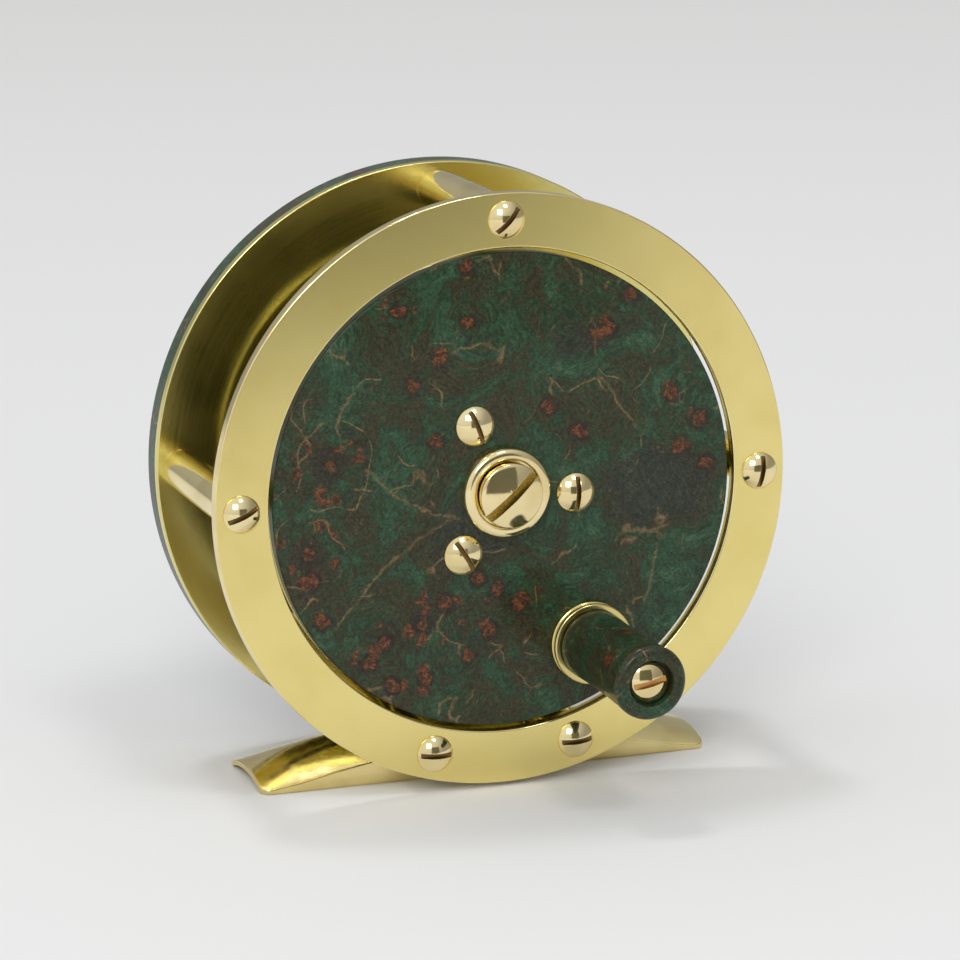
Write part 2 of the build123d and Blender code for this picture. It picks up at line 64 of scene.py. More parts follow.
def finish_named(name, base, **settings):
    """A new node material, with its shader set, as (material, tree, shader)."""
    material = bpy.data.materials.new(name)
    material.use_nodes = True
    tree = material.node_tree
    shader = tree.nodes["Principled BSDF"]
    shader.inputs["Base Color"].default_value = (*base, 1)
    for socket, value in settings.items():
        shader.inputs[socket.replace("_", " ")].default_value = value
    return material, tree, shader


def add(tree, kind, inputs=None, **settings):
    """A node of this kind: inputs are values or sockets by name, settings its own choices."""
    made = tree.nodes.new(kind)
    for name, value in settings.items():
        setattr(made, name, value)
    for name, value in (inputs or {}).items():
        if isinstance(value, bpy.types.NodeSocket):
            tree.links.new(value, made.inputs[name])
        else:
            made.inputs[name].default_value = value
    return made


def noise(tree, place, scale, detail=2.0, roughness=0.5):
    """A noise texture read at a place, as its node."""
    wanted = {"Vector": place, "Scale": scale, "Detail": detail, "Roughness": roughness}
    return add(tree, "ShaderNodeTexNoise", wanted)


def ranged(tree, value, low, high, start=0.0, end=1.0):
    """A value eased from start to end as the one given goes from low to high."""
    wanted = {"Value": value, "From Min": low, "From Max": high, "To Min": start, "To Max": end}
    return add(tree, "ShaderNodeMapRange", wanted, interpolation_type="SMOOTHSTEP").outputs[0]


def mixed(tree, share, first, second, way="MIX"):
    """Two colours mixed by a share from 0 to 1."""
    made = add(tree, "ShaderNodeMix", {0: share, 6: first, 7: second}, data_type="RGBA", blend_type=way)
    return made.outputs[2]


def lamp(name, place, size, power):
    """A square soft lamp that faces the reel."""
    light = bpy.data.lights.new(name, "AREA")
    light.size = size
    light.energy = power
    made = bpy.data.objects.new(name, light)
    made.location = place
    made.rotation_mode = "QUATERNION"
    made.rotation_quaternion = (aim - Vector(place)).to_track_quat("-Z", "Y")
    bpy.context.scene.collection.objects.link(made)
    return made


ring_low, ring_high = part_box("front_ring")
aim = Vector((0, ring_low.y, (ring_low.z + ring_high.z) / 2))
turn, tilt = math.radians(-20.04), math.radians(13.38)
back = Vector((math.sin(turn) * math.cos(tilt), -math.cos(turn) * math.cos(tilt), math.sin(tilt)))
camera = bpy.data.objects.new("camera", bpy.data.cameras.new("camera"))
camera.data.lens = 158.3
camera.data.sensor_width = 36
camera.data.clip_end = 20
camera.location = (-0.17989, -0.49752, 0.16297)
camera.rotation_mode = "QUATERNION"
camera.rotation_quaternion = (-back).to_track_quat("-Z", "Y")
bpy.context.scene.collection.objects.link(camera)
bpy.context.scene.camera = camera
bpy.context.scene.view_settings.view_transform = "Standard"

bm = bmesh.new()
bmesh.ops.create_grid(bm, x_segments=1, y_segments=1, size=3.5)
bmesh.ops.translate(bm, vec=(0, 0, -0.00002), verts=bm.verts)
floor = put("floor", bm)
paper, tree, shader = finish_named("floor_paper_painted_shade", (0.80, 0.79, 0.785), Roughness=0.85)
where = add(tree, "ShaderNodeTexCoord").outputs["Object"]
cloudy = noise(tree, where, 3.0, 3.0).outputs["Fac"]
near = mixed(tree, cloudy, (0.79, 0.79, 0.785, 1), (0.82, 0.82, 0.815, 1))
# Painted shade: the floor's colour darkens towards the back, standing in for the lamps' fall-off.
depth = add(tree, "ShaderNodeSeparateXYZ", {0: where}).outputs[1]
tone = mixed(tree, ranged(tree, depth, -0.1, 1.6), near, (0.70, 0.69, 0.67, 1))
tree.links.new(tone, shader.inputs["Base Color"])
floor.data.materials.append(paper)

lamp("key_lamp", (-0.25, 0.75, 2.6), 0.36, 10)
lamp("front_lamp", (0.4, -1.4, 2.6), 0.6, 10)
lamp("side_lamp", (-0.62, -1.25, 0.95), 0.6, 7)

world = bpy.data.worlds.new("studio")
world.use_nodes = True
tree = world.node_tree
way = add(tree, "ShaderNodeTexCoord").outputs["Generated"]
bright_side = Vector((-0.55, -0.30, 0.77)).normalized()
towards = add(tree, "ShaderNodeVectorMath", {0: way, 1: bright_side}, operation="DOT_PRODUCT")
glow = ranged(tree, towards.outputs["Value"], -0.2, 0.95, 0.34, 0.86)
backdrop = tree.nodes["Background"]
backdrop.inputs["Color"].default_value = (0.98, 0.985, 1.0, 1)
tree.links.new(glow, backdrop.inputs["Strength"])
bpy.context.scene.world = world

bm = bmesh.new()
bmesh.ops.create_grid(bm, x_segments=1, y_segments=1, size=0.5)
bmesh.ops.scale(bm, vec=(0.187, 0.148, 1), verts=bm.verts)
bmesh.ops.rotate(bm, cent=(0, 0, 0), matrix=Matrix.Rotation(math.radians(90), 3, "X"), verts=bm.verts)
bmesh.ops.translate(bm, vec=(0.031, -0.284, 0.074), verts=bm.verts)
card = put("dim_card", bm)
card.visible_camera = False
card.visible_diffuse = False
card.visible_shadow = False
dim, tree, shader = finish_named("card_grey", (0.20, 0.20, 0.16), Roughness=1.0)
card.data.materials.append(dim)


# The back plate is a disc of 1.2 mm hard brass sheet, turned to size with its front edge
# eased, then rubbed round with fine paper, so its grain runs in circles.
MM = 0.001


def turned(name, outline, centre, steps=192):
    """A lathe-turned piece from a closed half outline of radius, place and rounding."""
    bm = bmesh.new()
    corners = [bm.verts.new((centre.x + r, y, centre.z)) for r, y, rounding in outline]
    bm.faces.new(corners)
    for corner, (r, y, rounding) in zip(corners, outline):
        if rounding:
            bmesh.ops.bevel(bm, geom=[corner], offset=rounding, offset_type="OFFSET", segments=5,
                            profile=0.5, affect="VERTICES", material=-1)
    bmesh.ops.delete(bm, geom=bm.faces[:], context="FACES_ONLY")
    on_axis = [e for e in bm.edges if all(abs(v.co.x - centre.x) < 1e-7 for v in e.verts)]
    bmesh.ops.delete(bm, geom=on_axis, context="EDGES")
    bmesh.ops.spin(bm, geom=bm.verts[:] + bm.edges[:], cent=centre, axis=(0, 1, 0),
                   angle=math.tau, steps=steps, use_merge=True)
    bmesh.ops.remove_doubles(bm, verts=bm.verts, dist=1e-7)
    bmesh.ops.recalc_face_normals(bm, faces=bm.faces)
    return smooth(put(name, bm))


def smooth(piece):
    """Shades a piece smooth across its roundings and sharp at its true corners."""
    piece.data.shade_smooth()
    piece.data.set_sharp_from_angle(angle=math.radians(21))
    weighted = piece.modifiers.new("even_shading", "WEIGHTED_NORMAL")
    weighted.keep_sharp = True
    return piece


def dress(piece, body, material, slot, *nodes):
    """Gives a new piece its material or two (a screw's second is its slot's painted shade), the body it
    rides on and the nodes it stands for.
    """
    finishes = material if isinstance(material, tuple) else (material,)
    for spot, finish in enumerate(finishes):
        if spot < len(piece.data.materials):
            piece.data.materials[spot] = finish
        else:
            piece.data.materials.append(finish)
    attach(piece, body)
    if nodes:
        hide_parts(*nodes)


def brass(name, colour, roughness, spread, grain, depth, round_axis):
    """Brass rubbed with paper: upright or circular grain, and very faint tarnish."""
    material, tree, shader = finish_named(name, colour, Metallic=1.0, Roughness=roughness)
    object_place = add(tree, "ShaderNodeTexCoord").outputs["Object"]
    axis_height = middle("spool_face").z / MM
    from_hub = {"Vector": object_place, "Location": (0, 0, -axis_height), "Scale": (1 / MM,) * 3}
    place = add(tree, "ShaderNodeMapping", from_hub).outputs["Vector"]
    if round_axis:
        parts = add(tree, "ShaderNodeSeparateXYZ", {0: place})
        flat = add(tree, "ShaderNodeCombineXYZ", {0: parts.outputs[0], 1: parts.outputs[2]}).outputs[0]
        radius = add(tree, "ShaderNodeVectorMath", {0: flat}, operation="LENGTH").outputs["Value"]
        way = add(tree, "ShaderNodeVectorMath", {0: flat}, operation="NORMALIZE").outputs[0]
        way = add(tree, "ShaderNodeSeparateXYZ", {0: way})
        round_hub = {0: way.outputs[0], 1: way.outputs[1], 2: radius}
        lines = add(tree, "ShaderNodeCombineXYZ", round_hub).outputs[0]
        stretch = (1.3, 1.3, grain)
    else:
        lines = place
        stretch = (grain, grain, 0.12 * grain)
    lines = add(tree, "ShaderNodeMapping", {"Vector": lines, "Scale": stretch}).outputs["Vector"]
    streaks = noise(tree, lines, 1.0, 3.0, 0.6).outputs["Fac"]
    cloud = noise(tree, place, 0.13, 3.0, 0.55).outputs["Fac"]
    spots = noise(tree, place, 1.1, 4.0, 0.6).outputs["Fac"]
    tarnish = tuple(c * s for c, s in zip(colour, (0.95, 0.93, 0.86)))
    worn = mixed(tree, ranged(tree, cloud, 0.35, 0.75), (*colour, 1), (*tarnish, 1))
    speck = ranged(tree, spots, 0.68, 0.76, 0.0, 0.12)
    worn = mixed(tree, speck, worn, (*(0.6 * c for c in tarnish), 1))
    tree.links.new(worn, shader.inputs["Base Color"])
    uneven = add(tree, "ShaderNodeMath", {0: streaks, 1: cloud}, operation="ADD").outputs[0]
    matt = ranged(tree, uneven, 0.6, 1.4, roughness - spread, roughness + spread)
    tree.links.new(matt, shader.inputs["Roughness"])
    relief = {"Height": streaks, "Strength": 1.0, "Distance": depth * MM}
    tree.links.new(add(tree, "ShaderNodeBump", relief).outputs["Normal"], shader.inputs["Normal"])
    return material


def middle(node):
    """The middle of a CAD node's box."""
    low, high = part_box(node)
    return (low + high) / 2


def reach(node):
    """Half the width of a CAD node's box, which is the radius of a turned one."""
    low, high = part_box(node)
    return (high.x - low.x) / 2


plate_low, plate_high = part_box("back_plate")
hub = middle("spool_face")
hub.y = 0
outline = (
    (0, plate_low.y, 0),
    (reach("back_plate"), plate_low.y, 0.2 * MM),
    (reach("back_plate"), plate_high.y, 0.05 * MM),
    (0, plate_high.y, 0),
)
back_plate = turned("back_plate_sheet", outline, hub)
plate_brass = brass("plate_brass", (0.80, 0.72, 0.29), 0.20, 0.04, 5.0, 0.0006, True)
dress(back_plate, "frame", plate_brass, "satin_brass", "back_plate")


# The spindle is a shouldered steel pin through the plate, held by a brass nut in the
# cover's counterbore. A thin bronze washer takes the spool's thrust.
def metal(name, colour, roughness, spread):
    """Plainly turned metal with fine uneven marks."""
    material, tree, shader = finish_named(name, colour, Metallic=1.0, Roughness=roughness)
    place = add(tree, "ShaderNodeTexCoord").outputs["Object"]
    marks = noise(tree, place, 900.0, 4.0, 0.6).outputs["Fac"]
    cloud = noise(tree, place, 160.0, 2.0).outputs["Fac"]
    dull = tuple(c * s for c, s in zip(colour, (0.86, 0.82, 0.74)))
    tone = mixed(tree, ranged(tree, cloud, 0.35, 0.7), (*colour, 1), (*dull, 1))
    tree.links.new(tone, shader.inputs["Base Color"])
    matt = ranged(tree, marks, 0.3, 0.7, roughness - spread, roughness + spread)
    tree.links.new(matt, shader.inputs["Roughness"])
    relief = {"Height": marks, "Strength": 1.0, "Distance": 0.000002}
    tree.links.new(add(tree, "ShaderNodeBump", relief).outputs["Normal"], shader.inputs["Normal"])
    return material


def recolour(node, material):
    """Gives a CAD node that stays a better material."""
    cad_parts[node].data.materials.clear()
    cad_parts[node].data.materials.append(material)


turned_steel = metal("turned_steel", (0.55, 0.55, 0.56), 0.24, 0.06)
oiled_bronze = metal("oiled_bronze", (0.62, 0.40, 0.20), 0.32, 0.08)
turned_brass = metal("turned_brass", (0.86, 0.72, 0.32), 0.20, 0.06)
recolour("spindle", turned_steel)
recolour("spindle_nut", turned_brass)
recolour("thrust_washer", oiled_bronze)


# The click works between the plate and the spool: two brass posts riveted in the plate, a
# filed steel pawl, and a blued strip spring curled round its own post.
blued_steel = metal("blued_steel", (0.20, 0.23, 0.30), 0.22, 0.05)
recolour("pawl_post", turned_brass)
recolour("spring_post", turned_brass)
recolour("click_pawl", turned_steel)
spring_low, spring_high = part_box("click_spring")
strip_thickness = 0.35
corners = [Vector((x, 0, z)) for x, z in ((-0.6, 11.35), (1.5, 10.5), (5.5, 11.3), (9.6, 13.6))]
bm = bmesh.new()
bmesh.ops.create_grid(bm, x_segments=48, y_segments=1, size=0.5)
for vert in bm.verts:
    share, aside = vert.co.x + 0.5, vert.co.y
    rest = 1 - share
    weights = (rest**3, 3 * rest**2 * share, 3 * rest * share**2, share**3)
    slopes = (-3 * rest**2, 3 * rest * (rest - 2 * share), 3 * share * (2 * rest - share), 3 * share**2)
    on_curve = sum((w * corner for w, corner in zip(weights, corners)), Vector())
    along = sum((w * corner for w, corner in zip(slopes, corners)), Vector()).normalized()
    vert.co = (on_curve + aside * strip_thickness * Vector((-along.z, 0, along.x))) * MM + hub
    vert.co.y = spring_low.y
raised = bmesh.ops.extrude_face_region(bm, geom=bm.faces[:])["geom"]
raised = [v for v in raised if isinstance(v, bmesh.types.BMVert)]
bmesh.ops.translate(bm, vec=(0, spring_high.y - spring_low.y, 0), verts=raised)
bmesh.ops.recalc_face_normals(bm, faces=bm.faces)
strip = smooth(put("spring_strip", bm))
strip.data.materials.append(blued_steel)
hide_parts("click_spring")
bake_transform(strip)
outline = (
    (1.05 * MM, spring_low.y, 0),
    (1.6 * MM, spring_low.y, 0.08 * MM),
    (1.6 * MM, spring_high.y, 0.08 * MM),
    (1.05 * MM, spring_high.y, 0),
)
curl = turned("spring_eye", outline, hub + Vector((9.6, 0, 12.2)) * MM, 64)
dress(curl, "frame", blued_steel, "steel", "click_spring")


# Five pillars of 5.2 mm brass rod hold the ring and the plate apart. They are faced in
# the lathe, their ends just eased, and rubbed bright.
pillar_brass = metal("pillar_brass", (0.92, 0.79, 0.40), 0.13, 0.03)
for name in ("pillar_top", "pillar_left", "pillar_right", "pillar_lower_left", "pillar_lower_right"):
    low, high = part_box(name)
    outline = (
        (0, low.y, 0),
        (reach(name), low.y, 0.12 * MM),
        (reach(name), high.y, 0.12 * MM),
        (0, high.y, 0),
    )
    rod = turned(name + "_rod", outline, middle(name), 96)
    dress(rod, "frame", pillar_brass, "polished_brass", name)


# The front ring is turned from the same brass as the plate. The spool's face fills its
# bore, and both its edges are broken and burnished to a bright line.
def burnish(piece):
    """Puts the second finish on the faces that don't look along the axis."""
    for face in piece.data.polygons:
        face.material_index = int(abs(face.normal.y) < 0.96)


bore = 31.2 * MM
outline = (
    (bore, ring_low.y, 0.2 * MM),
    (reach("front_ring"), ring_low.y, 0.2 * MM),
    (reach("front_ring"), ring_high.y, 0.2 * MM),
    (bore, ring_high.y, 0.2 * MM),
)
front_ring = turned("front_ring_plate", outline, hub, 256)
edge_brass = metal("edge_brass", (0.93, 0.79, 0.42), 0.10, 0.03)
burnish(front_ring)
ring_brass = brass("ring_brass", (0.91, 0.765, 0.30), 0.24, 0.015, 5.0, 0.00012, False)
dress(front_ring, "frame", (ring_brass, edge_brass), "satin_brass", "front_ring")


# Domed slotted screws of polished brass run through the ring into the pillars. Each head
# is turned, its slot sawn, and the saw's burr taken off.
def cut(piece, tool):
    """Takes the tool's shape out of a piece and throws the tool away. Both get two material
    slots, so that the cut faces keep the tool's, which on a saw is the slot's painted shade."""
    for place in range(2):
        piece.data.materials.append(None)
        tool.data.materials.append(None)
    boolean = piece.modifiers.new("cut", "BOOLEAN")
    boolean.operation = "DIFFERENCE"
    boolean.solver = "EXACT"
    boolean.object = tool
    bpy.context.view_layer.update()
    graph = bpy.context.evaluated_depsgraph_get()
    made = bpy.data.meshes.new_from_object(piece.evaluated_get(graph))
    piece.modifiers.clear()
    piece.data = made
    bpy.data.objects.remove(tool)
    return piece


def saw(width, floor, top, angle, centre):
    """The block that a saw takes out of a screw head, whose cut faces carry painted shade for the slot.
    """
    bm = bmesh.new()
    bmesh.ops.create_cube(bm, size=1.0)
    for face in bm.faces:
        face.material_index = 1
    bmesh.ops.scale(bm, vec=(20 * MM, abs(top - floor), width), verts=bm.verts)
    level = Matrix.Rotation(math.radians(-angle), 3, "Y")
    bmesh.ops.rotate(bm, cent=(0, 0, 0), matrix=level, verts=bm.verts)
    bmesh.ops.translate(bm, vec=(centre.x, (top + floor) / 2, centre.z), verts=bm.verts)
    return put("saw", bm)


def soften(piece, width):
    """Breaks the sharp edges that a cut has left."""
    bm = bmesh.new()
    bm.from_mesh(piece.data)
    bmesh.ops.remove_doubles(bm, verts=bm.verts, dist=1e-7)
    bmesh.ops.dissolve_limit(bm, angle_limit=math.radians(0.5), verts=bm.verts, edges=bm.edges,
                             delimit={"MATERIAL"})
    sharp = [e for e in bm.edges if e.calc_face_angle(0) > math.radians(40)]
    bmesh.ops.bevel(bm, geom=sharp, offset=width, segments=2, profile=0.5, affect="EDGES",
                    clamp_overlap=False, material=-1)
    bm.to_mesh(piece.data)
    bm.free()
    return smooth(piece)


def domed_head(name, seat, facing, radius, height, rise, slot, centre):
    """A domed head on its seat, facing -1 to the front and 1 to the back, with its slot's width,
    depth and angle."""
    ball = (radius**2 + rise**2) / (2 * rise)
    bm = bmesh.new()
    bmesh.ops.create_circle(bm, cap_ends=True, segments=96, radius=radius)
    top = bm.faces[:]
    for step in range(9):
        bmesh.ops.inset_region(bm, faces=top, thickness=0.105 * radius, depth=0, use_boundary=True)
    for vert in bm.verts:
        out = vert.co.xy.length
        vert.co.z = height - ball + math.sqrt(ball**2 - out**2)
    edge = [e for e in bm.edges if e.is_boundary]
    side = bmesh.ops.extrude_edge_only(bm, edges=edge)["geom"]
    low = [v for v in side if isinstance(v, bmesh.types.BMVert)]
    for vert in low:
        vert.co.z = 0
    bmesh.ops.contextual_create(bm, geom=[e for e in bm.edges if e.is_boundary])
    bmesh.ops.recalc_face_normals(bm, faces=bm.faces)
    corners = [e for e in bm.edges if e.calc_face_angle(0) > math.radians(40)]
    shoulder = [e for e in corners if e.verts[0].co.z > 0]
    bmesh.ops.bevel(bm, geom=shoulder, offset=0.045 * radius, segments=4, profile=0.5,
                    affect="EDGES", material=-1)
    stand_up = Matrix.Rotation(math.radians(-90 * facing), 3, "X")
    bmesh.ops.rotate(bm, cent=(0, 0, 0), matrix=stand_up, verts=bm.verts)
    bmesh.ops.translate(bm, vec=(centre.x, seat, centre.z), verts=bm.verts)
    head = put(name, bm)
    width, depth, angle = slot
    crown = seat + facing * height
    block = saw(width, crown - facing * depth, crown + facing * 3 * MM, angle, centre)
    return soften(cut(head, block), 0.04 * MM)


screw_brass = metal("screw_brass", (0.93, 0.79, 0.44), 0.10, 0.03)
# Painted shade: the sawn slots' faces get a dark brown brass, standing in for the shade inside them.
slot_painted_shade = metal("slot_painted_shade", (0.24, 0.15, 0.055), 0.42, 0.08)
head_radius, head_height, head_rise = 2.4 * MM, 1.3 * MM, 1.1 * MM
slot_width, slot_depth = 0.62 * MM, 0.75 * MM
front_slots = {"top": 47, "left": 24, "right": 82, "lower_left": -2, "lower_right": 4}
for name, angle in front_slots.items():
    centre = middle("pillar_" + name)
    slot = (slot_width, slot_depth, angle)
    head = domed_head("ring_screw_" + name, ring_low.y, -1, head_radius, head_height, head_rise,
                      slot, centre)
    dress(head, "frame", (screw_brass, slot_painted_shade), "polished_brass", "front_screws")


# The back cover is a slab of dyed and stabilised burl, turned to the plate's diameter and
# buffed. Five more domed screws clamp it and the plate to the pillars.
def sums(tree, way, first, second=0.0, third=0.5):
    """One step of arithmetic on values."""
    return add(tree, "ShaderNodeMath", {0: first, 1: second, 2: third}, operation=way).outputs[0]


def warped(tree, place, scale, push, detail):
    """A place pushed about by noise, in millimetres."""
    colour = noise(tree, place, scale, detail, 0.55).outputs["Color"]
    shift = add(tree, "ShaderNodeVectorMath", {0: colour, 1: (0.5, 0.5, 0.5)}, operation="SUBTRACT")
    shift = add(tree, "ShaderNodeVectorMath", {0: shift.outputs[0], "Scale": push}, operation="SCALE")
    return add(tree, "ShaderNodeVectorMath", {0: place, 1: shift.outputs[0]}, operation="ADD").outputs[0]


def apart(tree, first, second, flat=(1, 1, 1)):
    """How far apart two places are, each direction counted by its share in flat."""
    off = add(tree, "ShaderNodeVectorMath", {0: first, 1: second}, operation="SUBTRACT").outputs[0]
    off = add(tree, "ShaderNodeVectorMath", {0: off, 1: flat}, operation="MULTIPLY").outputs[0]
    return add(tree, "ShaderNodeVectorMath", {0: off}, operation="LENGTH").outputs["Value"]


def cells(tree, place, size, feature):
    """A cell texture of cells about this wide, as its node."""
    wanted = {"Vector": place, "Scale": 1 / size, "Randomness": 1.0}
    return add(tree, "ShaderNodeTexVoronoi", wanted, feature=feature)


def green_clouds(tree, swirled, broad, grain, light, clouds):
    """The dyed ground: brown-black to green, with dark clouds at (x, z, size)."""
    dusk = 0.0
    for x, z, size in clouds:
        off = apart(tree, swirled, (x, 0, z), (0.7, 0, 1.2))
        dusk = sums(tree, "MAXIMUM", ranged(tree, off, size, 0.4 * size), dusk)
    height = sums(tree, "MULTIPLY_ADD", grain, 0.35, sums(tree, "MULTIPLY", broad, 0.65))
    ramp = add(tree, "ShaderNodeValToRGB", {0: height})
    stops = (
        (0.37, (0.030, 0.023, 0.011)), (0.45, (0.028, 0.029, 0.012)), (0.51, (0.018, 0.036, 0.016)),
        (0.56, (0.018, 0.050, 0.024)), (0.66, (0.036, 0.080, 0.040)),
    )
    for spot, (position, colour) in enumerate(stops):
        stop = ramp.color_ramp.elements[spot] if spot < 2 else ramp.color_ramp.elements.new(position)
        stop.position = position
        stop.color = (*(light * c for c in colour), 1)
    dark = sums(tree, "MULTIPLY", dusk, 0.75)
    return mixed(tree, dark, ramp.outputs["Color"], (0.026, 0.024, 0.019, 1))


def tan_lines(tree, tone, place, curled, swirled, widest, veins):
    """Fine hairs, the seams between growths, loops round the widest knots, and the veins."""
    drawn = warped(tree, place, 0.35, 2.2, 3.0)
    vein = 0.0
    for (x, z, radius), (near_x, near_z, reached) in veins:
        line = sums(tree, "SUBTRACT", apart(tree, drawn, (x, 0, z), (1, 0, 1)), radius)
        line = ranged(tree, sums(tree, "ABSOLUTE", line), 0.30, 0.06)
        near = ranged(tree, apart(tree, curled, (near_x, 0, near_z)), reached, 0.8 * reached)
        vein = sums(tree, "MAXIMUM", sums(tree, "MULTIPLY", line, near), vein)
    faint = ranged(tree, noise(tree, place, 0.35, 3.0).outputs["Fac"], 0.35, 0.6, 0.25, 0.9)
    vein = sums(tree, "MULTIPLY", vein, faint)
    drawn_out = add(tree, "ShaderNodeMapping", {"Vector": swirled, "Scale": (2.6, 1.0, 0.7)}).outputs[0]
    streaks = noise(tree, drawn_out, 1.0, 4.0, 0.7).outputs["Fac"]
    broken = noise(tree, place, 0.2, 3.0, 0.6).outputs["Fac"]
    hairs = sums(tree, "ABSOLUTE", sums(tree, "SUBTRACT", streaks, 0.5))
    patchy = ranged(tree, broken, 0.42, 0.62, 0.15, 0.6)
    hair = sums(tree, "MULTIPLY", ranged(tree, hairs, 0.018, 0.0), patchy)
    tone = mixed(tree, hair, tone, (0.120, 0.100, 0.050, 1))
    seams = cells(tree, warped(tree, place, 0.16, 8.0, 1.5), 11.0, "DISTANCE_TO_EDGE").outputs["Distance"]
    seam = sums(tree, "MULTIPLY", ranged(tree, seams, 0.018, 0.003), ranged(tree, broken, 0.50, 0.58))
    loop = sums(tree, "ABSOLUTE", sums(tree, "SUBTRACT", widest, 1.12))
    loops = sums(tree, "MULTIPLY", ranged(tree, loop, 0.045, 0.01), ranged(tree, broken, 0.40, 0.50))
    light_lines = sums(tree, "MAXIMUM", sums(tree, "MAXIMUM", seam, loops), vein)
    return mixed(tree, sums(tree, "MULTIPLY", light_lines, 0.7), tone, (0.17, 0.110, 0.050, 1))


def red_cores(tree, tone, curled, grain, nearest, closest):
    """The red-brown cores at and round each knot, each with a dark outline."""
    spots = cells(tree, curled, 2.4, "F1")
    chosen = add(tree, "ShaderNodeSeparateColor", {0: spots.outputs["Color"]}).outputs[0]
    ragged = sums(tree, "MULTIPLY", sums(tree, "SUBTRACT", grain, 0.5), 1.2)
    rough_edge = sums(tree, "MULTIPLY", ragged, 0.35)
    inner = ranged(tree, sums(tree, "ADD", spots.outputs["Distance"], rough_edge), 0.40, 0.30)
    inner = sums(tree, "MULTIPLY", inner, sums(tree, "GREATER_THAN", chosen, 0.22))
    inner = sums(tree, "MULTIPLY", inner, ranged(tree, nearest, 1.1, 0.95))
    from_knot = sums(tree, "ADD", closest, ragged)
    core = sums(tree, "MAXIMUM", inner, ranged(tree, from_knot, 1.0, 0.7))
    bark = noise(tree, curled, 1.6, 4.0, 0.7).outputs["Fac"]
    red = mixed(tree, ranged(tree, bark, 0.40, 0.58), (0.17, 0.055, 0.020, 1), (0.045, 0.020, 0.010, 1))
    around = sums(tree, "MULTIPLY", ranged(tree, from_knot, 1.7, 1.0), 0.7)
    tone = mixed(tree, around, tone, (0.022, 0.016, 0.010, 1))
    return mixed(tree, sums(tree, "MULTIPLY", core, 0.85), tone, red)


def burl(name, centre, knots, light, veins=(), clouds=()):
    """Burl dyed green under a buffed gloss, with red-brown knots at (x, y, z, size), tan veins on
    circles at (x, z, radius) as far as they lie near (x, z, reach), and dark clouds."""
    material, tree, shader = finish_named(name, (0.03, 0.06, 0.04), Roughness=0.4, Coat_Weight=0.32,
                                          Coat_Roughness=0.08, Coat_IOR=1.45)
    shader.inputs["Specular IOR Level"].default_value = 0.15
    object_place = add(tree, "ShaderNodeTexCoord").outputs["Object"]
    moved = {"Vector": object_place, "Location": tuple(-c / MM for c in centre), "Scale": (1 / MM,) * 3}
    place = add(tree, "ShaderNodeMapping", moved).outputs["Vector"]
    swirled = warped(tree, warped(tree, place, 0.09, 14.0, 1.0), 0.35, 3.5, 2.0)
    curled = warped(tree, place, 0.5, 1.6, 3.0)
    bent = warped(tree, place, 0.17, 6.0, 1.0)
    nearest, closest, widest = 9.0, 99.0, 9.0
    for x, y, z, size in knots:
        off = apart(tree, curled, (x, y, z))
        nearest = sums(tree, "MINIMUM", sums(tree, "DIVIDE", off, size), nearest)
        closest = sums(tree, "MINIMUM", off, closest)
        if size > 4:
            far = apart(tree, bent, (x, y, z))
            widest = sums(tree, "MINIMUM", sums(tree, "DIVIDE", far, size), widest)
    broad = noise(tree, swirled, 0.16, 4.0, 0.58).outputs["Fac"]
    grain = noise(tree, swirled, 0.8, 5.0, 0.65).outputs["Fac"]
    tone = green_clouds(tree, swirled, broad, grain, light, clouds)
    rings = sums(tree, "MULTIPLY_ADD", nearest, 11.0, sums(tree, "MULTIPLY", grain, 7.0))
    rings = sums(tree, "SINE", rings)
    around = sums(tree, "MULTIPLY", ranged(tree, rings, -0.3, 0.9), ranged(tree, nearest, 1.4, 0.6))
    tone = mixed(tree, sums(tree, "MULTIPLY", around, 0.8), tone, (0.026, 0.020, 0.014, 1))
    tone = tan_lines(tree, tone, place, curled, swirled, widest, veins)
    tone = red_cores(tree, tone, curled, grain, nearest, closest)
    fine = ranged(tree, noise(tree, curled, 2.4, 4.0, 0.7).outputs["Fac"], 0.3, 0.7, 0.65, 1.4)
    contour = sums(tree, "MULTIPLY_ADD", grain, 34.0, sums(tree, "MULTIPLY", broad, 60.0))
    contour = sums(tree, "SINE", contour)
    shade = sums(tree, "MULTIPLY", fine, ranged(tree, contour, -1.0, 1.0, 0.80, 1.25))
    shades = add(tree, "ShaderNodeCombineXYZ", {0: shade, 1: shade, 2: shade}).outputs[0]
    tree.links.new(mixed(tree, 1.0, tone, shades, "MULTIPLY"), shader.inputs["Base Color"])
    relief = {"Height": broad, "Strength": 1.0, "Distance": 0.00001}
    tree.links.new(add(tree, "ShaderNodeBump", relief).outputs["Normal"], shader.inputs["Coat Normal"])
    return material


cover_low, cover_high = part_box("back_cover")
outline = (
    (0, cover_low.y, 0),
    (reach("back_cover"), cover_low.y, 0.08 * MM),
    (reach("back_cover"), cover_high.y, 0.7 * MM),
    (0, cover_high.y, 0),
)
back_cover = turned("back_cover_slab", outline, hub, 256)
cover_knots = (
    (-22, 0, 12, 4.6), (-12, 0, 25, 2.6), (8, 0, 20, 3.6), (25, 0, 4, 4.4), (16, 0, -16, 3.0),
    (-8, 0, -22, 4.0), (-26, 0, -12, 2.4), (3, 0, -5, 2.6), (-6, 0, 8, 1.8), (32, 0, 18, 2.2),
    (-36, -2, 6, 2.0), (14, -1, 34, 2.4), (-30, -2, 22, 1.8), (-10, -2, 37, 1.8), (-34, -1, -18, 2.0),
)
cover_burl = burl("cover_burl", hub + Vector((0, cover_high.y, 0)), cover_knots, 1.3)
dress(back_cover, "frame", cover_burl, "burl", "back_cover")
rear_slots = {"top": 12, "left": 71, "right": -38, "lower_left": 55, "lower_right": -8}
